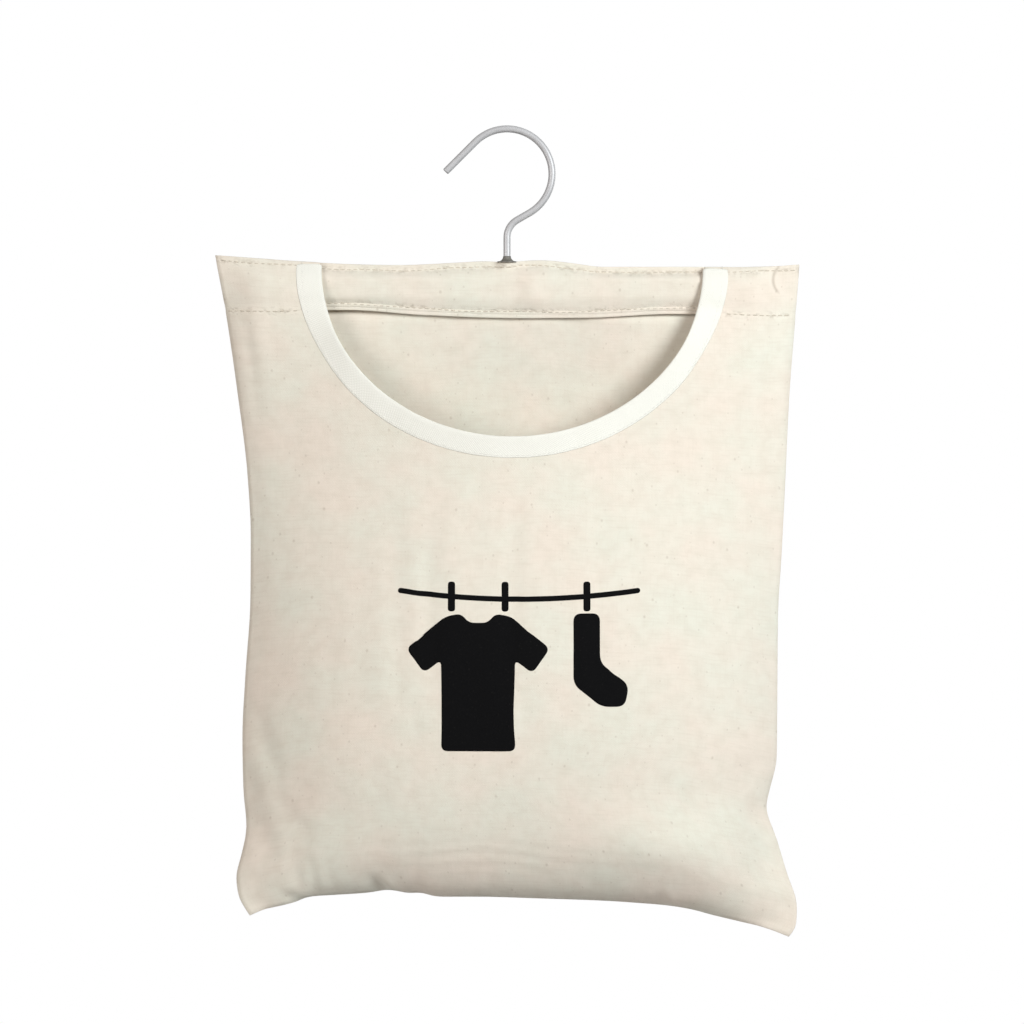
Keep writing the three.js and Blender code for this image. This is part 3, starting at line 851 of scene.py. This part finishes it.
onMouth = np.abs(mouthShare(*hungPlace(*frontSheet["shares"].T)) - 1) < 0.02
onMouth &= (frontSheet["shares"][:, 1] > 1e-5) & (np.abs(frontSheet["shares"][:, 0] - 0.5) < 0.4)
frontPanel = finishSheet("front_cloth", frontSheet, onMouth, turnedSeam)
backPanel = finishSheet("back_cloth", backSheet, np.zeros(len(backSheet["points"]), bool), turnedSeam)
print("front and back panels sewn")


# Casing band over the bar, with a turned hem along its lower edge
def makeCasing():
    rows, columns = casing["rows"] + 1, casing["columns"] + 1
    grid = np.meshgrid(np.linspace(-casing["endAt"], casing["endAt"], columns), np.linspace(0, 1, rows))
    x, share = (part.ravel() for part in grid)
    z = lerp(topEdge(x), casingEdge(x), share)
    flat = np.column_stack([x, z])
    pull = casing["pull"]
    loose = sum(size * np.abs(noiseAt(flat, scale, seed)) for size, scale, seed in casing["soft"])
    loose = loose + pull["height"] * bell(x - pull["at"], pull["width"])
    between = np.clip(np.minimum(topSeam(x) - z, z - casingSeam(x)) / casing["softBlend"], 0, 1)
    hem = casing["hemRise"] * (1 - smoothStep(z - casingEdge(x), *casing["hemReach"]))
    groove = sum(bell(z - seam(x), casing["grooveWidth"]) for seam in (topSeam, casingSeam))
    depth = casing["depth"] + tunnelDepth(x, z, -1) + hem + loose * between - casing["groove"] * groove
    points = np.column_stack([x, -depth, z])
    sheet = seat({"points": points, "faces": gridFaces(rows, columns), "flat": flat})
    sheet["gap"] = stitchGap(points, lowLine)
    atEnd = np.abs(np.abs(x) - casing["endAt"]) < 1e-6
    return finishSheet("casing_cloth", sheet, atEnd, turnedHem), sheet


casingBand, casingSheet = makeCasing()
print("casing band sewn")


# Binding tape folded over the mouth: section points are (outward from the fold, height over the front)
binding = {
    "width": 0.0098,
    "section": [
        (1.00, 0.00003), (0.98, 0.00014), (0.85, 0.00026), (0.55, 0.00036), (0.25, 0.00044), (0.06, 0.00046),
        (-0.04, 0.00038), (-0.09, 0.00010), (-0.105, -0.00025), (-0.09, -0.00060), (-0.04, -0.00095),
        (0.06, -0.00110), (0.25, -0.00112), (0.55, -0.00112), (0.85, -0.00110), (0.95, -0.00100),
        (0.955, -0.00075), (0.85, -0.00066), (0.45, -0.00064), (0.08, -0.00064), (0.02, -0.00025),
        (0.08, 0.00006), (0.45, 0.00005), (0.90, 0.00003),
    ],
    "stations": 170, "endSpread": 0.20, "ripple": 0.00012, "waver": 0.02, "uvRadius": 0.09,
}


def mouthPlace(angle, out):
    x = mouth["middle"][0] + mouth["across"] * math.sin(angle)
    z = mouth["middle"][1] - mouth["down"] * math.cos(angle)
    way = Vector((math.sin(angle) / mouth["across"], -math.cos(angle) / mouth["down"])).normalized()
    return x + way.x * out, z + way.y * out


def mouthEnd(side):
    angles = np.linspace(0, math.pi / 2 + 0.12, 4000)
    places = np.array([mouthPlace(side * angle, 0.0) for angle in angles])
    return side * angles[places[:, 1] < topEdge(places[:, 0]) - 0.0004][-1]


def tapePoint(angle, out, height):
    point, normal = onCloth(frontSheet, *flatOf(*mouthPlace(angle, max(out, 0.0))))
    if out < 0:
        further, _ = onCloth(frontSheet, *flatOf(*mouthPlace(angle, 0.0015)))
        point = point + (point - further) / np.linalg.norm(point - further) * -out
    return point + normal * height


def makeBinding():
    angles = np.linspace(*mouthEnds, binding["stations"])
    section, width = binding["section"], binding["width"]
    points = []
    for angle in angles:
        ripple = binding["ripple"] * noise.noise(Vector((angle * 9, 4.2, 0)))
        edge = 1 + binding["waver"] * noise.noise(Vector((angle * 6, 9.1, 0)))
        edge += binding["endSpread"] * smoothStep(abs(angle), 1.0, 1.5)
        for out, height in section:
            lift = ripple if height > 0.0002 else 0
            points.append(tapePoint(angle, out * width * edge, height + lift))
    count = len(section)
    faces = gridFaces(len(angles), count, closeColumns=True)
    faces.append(range(count))
    faces.append(reversed(range(len(points) - count, len(points))))
    run = [[angle * binding["uvRadius"], out * width + height] for angle in angles for out, height in section]
    return dress(newPiece("binding_tape", points, faces), tapeCloth, np.array(run), level=1)


mouthEnds = mouthEnd(-1), mouthEnd(1)
bindingTape = makeBinding()
print("binding tape folded over the mouth")


# Stitches: a short arched thread on each step of a line that lies on the cloth
stitch = {"Pitch": 0.0032, "Stitch Length": 0.0025, "Thread Radius": 0.00028, "Arch": 0.00045}
tapeStitch = {"Pitch": 0.0026, "Stitch Length": 0.0020, "Thread Radius": 0.00012, "Arch": 0.00012}
stitching = {
    "leftEnd": -0.1415, "rightEnd": 0.1425, "tapeGap": 0.0016,
    "casing": (-0.095, 0.0965), "back": (-0.1395, 0.1400),
    "tapeRows": [(0.0086, 0.00022, 1), (0.0082, -0.00112, -1)],
}


def stitchTree(material):
    tree = bpy.data.node_groups.new("stitch_run", "GeometryNodeTree")
    sockets = [("Geometry", "INPUT", "Geometry"), *((name, "INPUT", "Float") for name in stitch)]
    sockets += [("Seed", "INPUT", "Int"), ("Geometry", "OUTPUT", "Geometry")]
    for name, way, kind in sockets:
        tree.interface.new_socket(name, in_out=way, socket_type="NodeSocket" + kind)

    def add(kind, inputs=(), **settings):
        return addNode(tree, kind, inputs, **settings).outputs

    given = add("NodeGroupInput")
    lines = add("GeometryNodeMeshToCurve", {"Mesh": given["Geometry"]})["Curve"]
    steps = add("GeometryNodeResampleCurve", {"Curve": lines, "Length": given["Pitch"]}, mode="LENGTH")
    capture = addNode(tree, "GeometryNodeCaptureAttribute", {"Geometry": steps["Curve"]})
    capture.capture_items.new("VECTOR", "Along")
    tree.links.new(add("GeometryNodeInputTangent")[0], capture.inputs["Along"])
    captured = capture.outputs
    spots = add("GeometryNodeCurveToPoints", {"Curve": captured["Geometry"]}, mode="EVALUATED")["Points"]
    facing = add("GeometryNodeInputNamedAttribute", {"Name": "facing"}, data_type="FLOAT_VECTOR")["Attribute"]
    align = "FunctionNodeAlignRotationToVector"
    along = add(align, {"Vector": captured["Along"]}, axis="X")["Rotation"]
    upright = add(align, {"Rotation": along, "Vector": facing}, axis="Z", pivot_axis="X")["Rotation"]
    half, back = (times(given["Stitch Length"], share) for share in (0.5, -0.5))
    dip = times(given["Arch"], -0.7)
    arch = {"Resolution": 5}
    for name, x, z in (("Start", back, dip), ("Middle", 0.0, given["Arch"]), ("End", half, dip)):
        arch[name] = add("ShaderNodeCombineXYZ", {"X": x, "Z": z})[0]
    bow = add("GeometryNodeCurveQuadraticBezier", arch)["Curve"]
    ring = add("GeometryNodeCurvePrimitiveCircle", {"Resolution": 6, "Radius": given["Thread Radius"]})
    tube = {"Curve": bow, "Profile Curve": ring["Curve"], "Fill Caps": True}
    thread = add("GeometryNodeCurveToMesh", tube)["Mesh"]
    wobble = add("FunctionNodeRandomValue", {2: 0.86, 3: 1.12, "Seed": given["Seed"]}, data_type="FLOAT")[1]
    laid = {"Points": spots, "Instance": thread, "Rotation": upright, "Scale": wobble}
    result = add("GeometryNodeInstanceOnPoints", laid)["Instances"]
    for kind in ("GeometryNodeRealizeInstances", "GeometryNodeSetShadeSmooth"):
        result = add(kind, {"Geometry": result})["Geometry"]
    result = add("GeometryNodeSetMaterial", {"Geometry": result, "Material": material})["Geometry"]
    add("NodeGroupOutput", {"Geometry": result})
    return tree


def sew(name, lines, sizes, material, seed):
    points, edges, facing = [], [], []
    for line in lines:
        first = len(points)
        points += [point for point, _ in line]
        facing += [normal for _, normal in line]
        edges += [(k, k + 1) for k in range(first, len(points) - 1)]
    piece = newPiece(name, points, [], edges)
    attribute = piece.data.attributes.new("facing", "FLOAT_VECTOR", "POINT")
    attribute.data.foreach_set("vector", np.array(facing).ravel())
    run = piece.modifiers.new("stitches", "NODES")
    run.node_group = stitchTree(material)
    values = {**sizes, "Seed": seed}
    for item in run.node_group.interface.items_tree:
        if item.in_out == "INPUT" and item.name in values:
            run[item.identifier] = values[item.name]
    bakeModifiers(piece)
    return piece


def clothLine(sheet, places):
    return [onCloth(sheet, x, z) for x, z in zip(*places)]


def bagLines(frontLine, backLine, trim):
    tapeLeft, tapeRight = (mouthPlace(angle, binding["width"])[0] for angle in mouthEnds)
    left = np.linspace(stitching["leftEnd"], tapeLeft - stitching["tapeGap"], 40)[trim:]
    right = np.linspace(tapeRight + stitching["tapeGap"], stitching["rightEnd"], 40)[:40 - trim]
    middle = np.linspace(*stitching["casing"], 120)
    behind = np.linspace(*stitching["back"], 160)[trim:160 - trim]
    return [
        clothLine(frontSheet, flatOf(left, frontLine(left))),
        clothLine(frontSheet, flatOf(right, frontLine(right))),
        clothLine(casingSheet, (middle, backLine(middle))),
        clothLine(backSheet, flatOf(behind, backLine(behind))),
    ]


def tapeLine(out, height, side):
    line = []
    for angle in np.linspace(*mouthEnds, 220):
        point = tapePoint(angle, out, height)
        normal = tapePoint(angle, out, height + 0.001) - point
        line.append((point, side * normal / np.linalg.norm(normal)))
    return line


topStitches = sew("top_stitches", bagLines(topLine, topLine, 0), stitch, canvasThread, 4)
casingStitches = sew("casing_stitches", bagLines(shoulderLine, lowLine, 4), stitch, canvasThread, 9)
tapeLines = [tapeLine(*row) for row in stitching["tapeRows"]]
tapeStitches = sew("tape_stitches", tapeLines, tapeStitch, tapeThread, 2)
print("stitches sewn")


# Black print of a short washing line, set by its middle
printing = {
    "middle": (0.006, -0.262), "grid": 0.0014, "lift": 0.00010, "thickness": 0.00008,
    "shirt": [
        (-0.0085, 0.0230), (-0.0045, 0.0185), (0.0045, 0.0185), (0.0085, 0.0230), (0.0160, 0.0215),
        (0.0350, 0.0060), (0.0265, -0.0060), (0.0180, 0.0005), (0.0180, -0.0440), (-0.0180, -0.0440),
        (-0.0180, 0.0005), (-0.0265, -0.0060), (-0.0350, 0.0060), (-0.0160, 0.0215),
    ],
    "sock": [
        (-0.0065, 0.0230), (0.0065, 0.0230), (0.0065, -0.0010), (0.0205, -0.0120), (0.0185, -0.0225),
        (0.0070, -0.0225), (-0.0065, -0.0115),
    ],
    "shirtAt": -0.0200, "sockAt": 0.0330, "shirtRound": 0.0032, "sockRound": 0.0040,
    "lineHalf": 0.058, "lineLow": 0.0300, "lineSag": 0.0040, "lineWidth": 0.0026,
    "pegs": (-0.0330, -0.0070, 0.0330),
    "pegHalf": 0.0017, "pegLow": 0.0240, "pegHigh": 0.0385, "pegRound": 0.0016,
}


def roundedShape(points, radius, steps=7):
    shape = []
    for index, point in enumerate(points):
        corner = Vector(point)
        before = Vector(points[index - 1]) - corner
        after = Vector(points[(index + 1) % len(points)]) - corner
        reach = min(radius, 0.45 * before.length, 0.45 * after.length)
        a, b = corner + before.normalized() * reach, corner + after.normalized() * reach
        for share in np.linspace(0, 1, steps):
            shape.append(tuple(a.lerp(corner, share).lerp(corner.lerp(b, share), share)))
    return shape


# Every shape runs counter-clockwise
def printShapes():
    shapes = []
    for name in ("shirt", "sock"):
        outline = [(x + printing[name + "At"], z) for x, z in reversed(printing[name])]
        shapes.append(roundedShape(outline, printing[name + "Round"]))
    reach, half = printing["lineHalf"], printing["lineWidth"] / 2
    low, droop = printing["lineLow"], printing["lineSag"]
    sag = [(x, low + droop * (x / reach) ** 2) for x in np.linspace(-reach, reach, 40)]
    rightEnd = arcPoints(sag[-1], half, -math.pi / 2, math.pi / 2, 7)[1:-1]
    leftEnd = arcPoints(sag[0], half, math.pi / 2, 1.5 * math.pi, 7)[1:-1]
    upper, lower = ([(x, z + side * half) for x, z in sag] for side in (1, -1))
    shapes.append(lower + rightEnd + upper[::-1] + leftEnd)
    low, high = printing["pegLow"], printing["pegHigh"]
    for x in printing["pegs"]:
        left, right = x - printing["pegHalf"], x + printing["pegHalf"]
        peg = [(left, low), (right, low), (right, high), (left, high)]
        shapes.append(roundedShape(peg, printing["pegRound"]))
    return shapes


def makePrint():
    points, faces = [], []
    for shape in printShapes():
        step = printing["grid"]
        box = zip(np.min(shape, 0), np.max(shape, 0))
        spans = [np.arange(low + step / 2, high, step) for low, high in box]
        places = [Vector(point) for point in shape + [(x, z) for x in spans[0] for z in spans[1]]]
        rim = [(k, (k + 1) % len(shape)) for k in range(len(shape))]
        flatPoints, _, triangles, *_ = delaunay_2d_cdt(places, rim, [list(range(len(shape)))], 1, 1e-7)
        first = len(points)
        points += [tuple(place + Vector(printing["middle"])) for place in flatPoints]
        faces += [tuple(first + k for k in triangle) for triangle in triangles]
    flat = np.column_stack(flatOf(*np.array(points).T))
    laid = [point + normal * printing["lift"] for point, normal in clothLine(frontSheet, flat.T)]
    return dress(newPiece("line_print", laid, faces), blackInk, flat, wall=printing["thickness"])


linePrint = makePrint()
print("print laid on the front")


# Hook of round wire
hookWire = {
    "diameter": 0.0035, "crookInner": 0.02075, "tip": 0.021, "tipSlope": 45, "neckAngle": 60,
    "neckBend": 0.010, "sides": 20, "step": 0.0009,
    "filedEnd": [(0.0, 0.80), (0.00008, 0.88), (0.00020, 0.95), (0.00038, 1.0)],
}


def hookPath():
    radius = hookWire["crookInner"] + hookWire["diameter"] / 2
    middleZ = -hookWire["crookInner"]
    tip, neck = math.radians(hookWire["tipSlope"]), math.radians(hookWire["neckAngle"])
    bend, step = hookWire["neckBend"], hookWire["step"]
    exitX, exitZ = radius * math.cos(neck), middleZ - radius * math.sin(neck)
    shankZ = exitZ - exitX / math.tan(neck) - bend * math.tan(neck / 2)
    start = Vector((-radius * math.sin(tip), middleZ + radius * math.cos(tip)))
    end = start - hookWire["tip"] * Vector((math.cos(tip), math.sin(tip)))
    bendStart = (bend - bend * math.cos(neck), shankZ + bend * math.sin(neck))

    def run(a, b):
        count = max(2, round((Vector(b) - Vector(a)).length / step))
        return [tuple(Vector(a).lerp(Vector(b), k / count)) for k in range(count)]

    path = run(end, start)
    sweep = math.pi / 2 + tip + neck
    path += arcPoints((0, middleZ), radius, math.pi / 2 + tip, -neck, round(radius * sweep / step))[:-1]
    path += run((exitX, exitZ), bendStart)
    path += arcPoints((bend, shankZ), bend, math.pi - neck, math.pi, round(bend * neck / step))[:-1]
    path += run((0, shankZ), (0, hookLow.z))
    path.append((0, hookLow.z))
    return [Vector((x, 0, z)) for x, z in path]


def makeHook():
    path = hookPath()
    radius, sides, filed = hookWire["diameter"] / 2, hookWire["sides"], hookWire["filedEnd"]
    along = (path[1] - path[0]).normalized()
    path = [path[0] + along * out for out, _ in filed] + path[1:]
    radii = [share * radius for _, share in filed] + [radius] * (len(path) - len(filed))
    side = Vector((0, 1, 0))
    points = []
    for k, place in enumerate(path):
        along = (path[min(k + 1, len(path) - 1)] - path[max(k - 1, 0)]).normalized()
        up = along.cross(side).normalized()
        for angle in turnAngles(sides):
            points.append(place + radii[k] * (math.cos(angle) * side + math.sin(angle) * up))
    faces = [tuple(reversed(face)) for face in gridFaces(len(path), sides, closeColumns=True)]
    faces.append(reversed(range(sides)))
    faces.append(range(len(points) - sides, len(points)))
    return dress(newPiece("wire_hook", points, faces), wireSteel)


wireHook = makeHook()


# Trumpet collar at the foot of the shank
collar = {
    "rimHeight": 0.0006, "height": 0.0032, "sink": 0.0010, "slip": 0.0001, "wall": 0.0003, "rounding": 0.0002,
    "rimRounding": 0.00015, "sides": 40, "steps": 9,
}


def makeCollar():
    rim = collarHigh.x
    bore = hookWire["diameter"] / 2 + collar["slip"]
    barrel = bore + collar["wall"]
    rounding, edge = collar["rounding"], collar["rimRounding"]
    top = collarHigh.z - collar["sink"]
    base = top - collar["height"]
    rimTop = base + collar["rimHeight"]
    profile = [(bore, collarLow.z), (barrel, collarLow.z), (barrel, base), (rim - rounding, base)]
    profile += [(rim, base + edge), (rim, rimTop - edge)]
    for turn in np.linspace(0, 1, collar["steps"]) * math.pi / 2:
        radius = lerp(rim - rounding, barrel - rounding, math.sin(turn))
        profile.append((radius, lerp(rimTop, top, 1 - math.cos(turn))))
    profile.append((bore, top - rounding))
    points = []
    for angle in turnAngles(collar["sides"]):
        points += [(radius * math.cos(angle), radius * math.sin(angle), z) for radius, z in profile]
    faces = gridFaces(collar["sides"], len(profile), closeRows=True, closeColumns=True)
    return dress(newPiece("shank_collar", points, faces), collarMetal)


shankCollar = makeCollar()
for node, material in (("hanger_bar", barWood), ("hook_washer", wireSteel)):
    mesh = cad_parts[node].data
    mesh.materials.clear()
    mesh.materials.append(material)
print("hook, collar and bar finished")


# What moves with what
for piece in (frontPanel, backPanel, casingBand, bindingTape, linePrint, shankCollar):
    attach(piece, "bag")
for piece in (topStitches, casingStitches, tapeStitches):
    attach(piece, "bag")
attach(wireHook, "hook")
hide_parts("front_panel")
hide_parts("back_panel")
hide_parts("casing_band")
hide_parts("mouth_binding")
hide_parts("hook")
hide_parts("hook_collar")


# Camera, light and floor. A lamp is its place, size, power and colour.
studio = {
    "lens": 100, "sensor": 36, "frameWidth": 0.512, "lookAt": (0.0025, -0.1898),
    "lamps": {
        "key": ((1.12, -1.12, 0.35), 0.8, 25.8, (0.965, 1, 1.01)),
        "top": ((0.0, -1.5, 1.0), 1.0, 2.5, (1, 1, 1)),
        "left": ((-1.25, -1.3, 0.05), 1.1, 15.6, (1, 0.945, 0.91)),
        "back": ((0.5, 1.6, 0.30), 1.2, 14.0, (1, 0.98, 0.95)),
    },
    "lampsAim": (0, 0, -0.22),
    "ambient": 0.05,
    "ambientColour": (1, 0.92, 0.85, 1),
    "floorZ": -1.00, "floorRadius": 0.62, "floorSides": 96,
    "floor": {"Base Color": (0.86, 0.86, 0.86, 1), "Roughness": 0.9},
}


def makeCamera():
    data = bpy.data.cameras.new("camera")
    data.lens = studio["lens"]
    data.sensor_width = studio["sensor"]
    camera = addObject("camera", data)
    distance = studio["frameWidth"] * studio["lens"] / studio["sensor"]
    camera.location = (studio["lookAt"][0], -distance, studio["lookAt"][1])
    camera.rotation_euler = (math.pi / 2, 0, 0)
    bpy.context.scene.camera = camera


def makeLamp(name, place, size, power, colour):
    data = bpy.data.lights.new(name, "AREA")
    data.shape = "DISK"
    data.size = size
    data.energy = power
    data.color = colour
    lamp = addObject(name, data)
    lamp.location = place
    lamp.rotation_euler = (Vector(studio["lampsAim"]) - Vector(place)).to_track_quat("-Z", "Y").to_euler()
    lamp.visible_camera = False


def makeWorld():
    world = bpy.data.worlds.new("studio")
    bpy.context.scene.world = world
    world.use_nodes = True
    tree = world.node_tree
    tree.nodes.clear()
    path = addNode(tree, "ShaderNodeLightPath").outputs
    seen = path["Is Camera Ray"]
    for name in ("Is Glossy Ray", "Is Transmission Ray"):
        seen = mathNode("MAXIMUM", seen, path[name])
    mix = {0: seen}
    for socket, strength, colour in ((1, studio["ambient"], studio["ambientColour"]), (2, 1.0, (1, 1, 1, 1))):
        inputs = {"Color": colour, "Strength": strength}
        mix[socket] = addNode(tree, "ShaderNodeBackground", inputs).outputs[0]
    shade = addNode(tree, "ShaderNodeMixShader", mix).outputs[0]
    addNode(tree, "ShaderNodeOutputWorld", {"Surface": shade})


def makeFloor():
    radius, z = studio["floorRadius"], studio["floorZ"]
    angles = turnAngles(studio["floorSides"])
    rim = [(radius * math.cos(angle), radius * math.sin(angle), z) for angle in angles]
    floor = newPiece("floor", rim, [range(len(rim))])
    floor.data.materials.append(finishMaterial(newMaterial("pale_floor")[0], studio["floor"]))


makeCamera()
for name, lamp in studio["lamps"].items():
    makeLamp(name, *lamp)
makeWorld()
makeFloor()
bpy.context.scene.view_settings.view_transform = "Standard"
print("camera, light and floor set")
